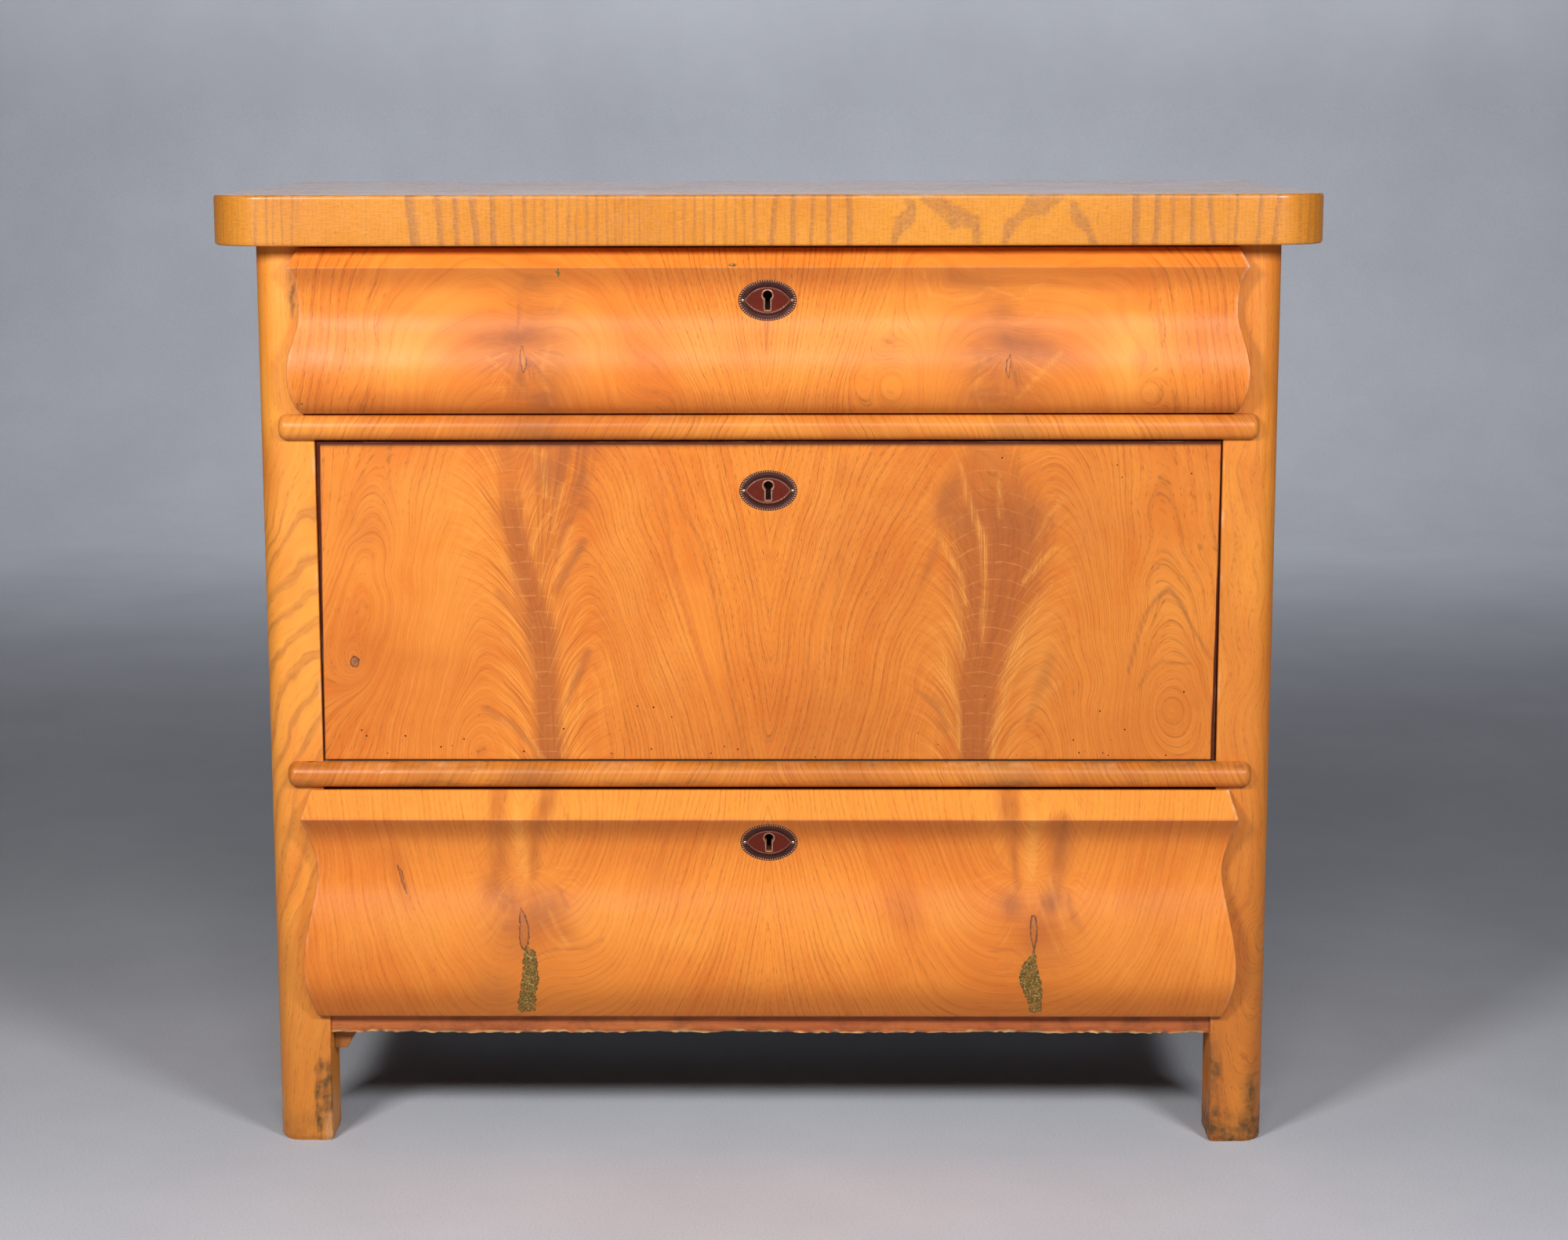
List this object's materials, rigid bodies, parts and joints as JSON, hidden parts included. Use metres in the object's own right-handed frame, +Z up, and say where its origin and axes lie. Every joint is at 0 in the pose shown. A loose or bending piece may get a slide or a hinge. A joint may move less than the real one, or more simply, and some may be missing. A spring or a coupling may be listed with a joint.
{
  "type": "chest of drawers",
  "caption": "Low wooden chest with full-width locking drawers, ogee-moulded top and bottom fronts, half-round beads, rounded corner posts running down as legs and a thick top.",
  "frame": {"origin": "on the floor under the centre of the plan box, below the middle of the top", "axes": "+Z up, fronts facing -Y, +X to the right of a person facing the fronts"},
  "size_m": [1.01, 0.534, 0.896],
  "materials": {
    "polished_ash": "figured ash veneer, warm shellac polish, satin gloss",
    "raw_pine": "planed bare softwood, aged",
    "stained_pine": "red-brown stained softwood, worn",
    "copper_plate": "dark red-brown coppered sheet metal, rubbed on the high points",
    "bright_pin": "rubbed bright round-headed pins",
    "dark_iron": "dark forged iron with light rust",
    "lock_steel": "filed steel, dulled"
  },
  "bodies": {
    "carcass": {"back_board_lower": "raw_pine", "back_board_upper": "raw_pine", "back_nails": "dark_iron", "bottom_front_rail": "stained_pine", "bottom_rear_rail": "raw_pine", "corner_glue_block": "raw_pine", "drawer_stops": "raw_pine", "front_post_left": "polished_ash", "front_post_right": "polished_ash", "kicker_left": "raw_pine", "kicker_right": "raw_pine", "lower_bead": "polished_ash", "lower_divider_rail": "raw_pine", "lower_runner_left": "raw_pine", "lower_runner_right": "raw_pine", "middle_runner_left": "raw_pine", "middle_runner_right": "raw_pine", "rear_post_left": "stained_pine", "rear_post_right": "stained_pine", "side_panel_left": "polished_ash", "side_panel_right": "polished_ash", "top_dowels": "raw_pine", "top_front_rail": "raw_pine", "top_panel": "polished_ash", "top_rear_rail": "raw_pine", "upper_bead": "polished_ash", "upper_divider_rail": "raw_pine", "upper_runner_left": "raw_pine", "upper_runner_right": "raw_pine"},
    "top_drawer": {"top_drawer_back": "raw_pine", "top_drawer_bottom": "raw_pine", "top_drawer_escutcheon": "copper_plate", "top_drawer_escutcheon_pins": "bright_pin", "top_drawer_front": "polished_ash", "top_drawer_lock_case": "dark_iron", "top_drawer_lock_screws": "lock_steel", "top_drawer_side_left": "raw_pine", "top_drawer_side_right": "raw_pine"},
    "top_drawer_bolt": {"top_drawer_lock_bolt": "lock_steel"},
    "middle_drawer": {"middle_drawer_back": "raw_pine", "middle_drawer_bottom": "raw_pine", "middle_drawer_escutcheon": "copper_plate", "middle_drawer_escutcheon_pins": "bright_pin", "middle_drawer_front": "polished_ash", "middle_drawer_lock_case": "dark_iron", "middle_drawer_lock_screws": "lock_steel", "middle_drawer_side_left": "raw_pine", "middle_drawer_side_right": "raw_pine"},
    "middle_drawer_bolt": {"middle_drawer_lock_bolt": "lock_steel"},
    "bottom_drawer": {"bottom_drawer_back": "raw_pine", "bottom_drawer_bottom": "raw_pine", "bottom_drawer_escutcheon": "copper_plate", "bottom_drawer_escutcheon_pins": "bright_pin", "bottom_drawer_front": "polished_ash", "bottom_drawer_lock_case": "dark_iron", "bottom_drawer_lock_screws": "lock_steel", "bottom_drawer_side_left": "raw_pine", "bottom_drawer_side_right": "raw_pine"},
    "bottom_drawer_bolt": {"bottom_drawer_lock_bolt": "lock_steel"}
  },
  "joints": [
    {"name": "top_drawer_slide", "type": "slide", "parent": "carcass", "child": "top_drawer", "axis": [0, -1, 0], "range_m": [0, 0.33]},
    {"name": "middle_drawer_slide", "type": "slide", "parent": "carcass", "child": "middle_drawer", "axis": [0, -1, 0], "range_m": [0, 0.33]},
    {"name": "bottom_drawer_slide", "type": "slide", "parent": "carcass", "child": "bottom_drawer", "axis": [0, -1, 0], "range_m": [0, 0.33]},
    {"name": "top_drawer_bolt_throw", "type": "slide", "parent": "top_drawer", "child": "top_drawer_bolt", "axis": [0, 0, 1], "range_m": [0, 0.009]},
    {"name": "middle_drawer_bolt_throw", "type": "slide", "parent": "middle_drawer", "child": "middle_drawer_bolt", "axis": [0, 0, 1], "range_m": [0, 0.009]},
    {"name": "bottom_drawer_bolt_throw", "type": "slide", "parent": "bottom_drawer", "child": "bottom_drawer_bolt", "axis": [0, 0, 1], "range_m": [0, 0.009]}
  ]
}
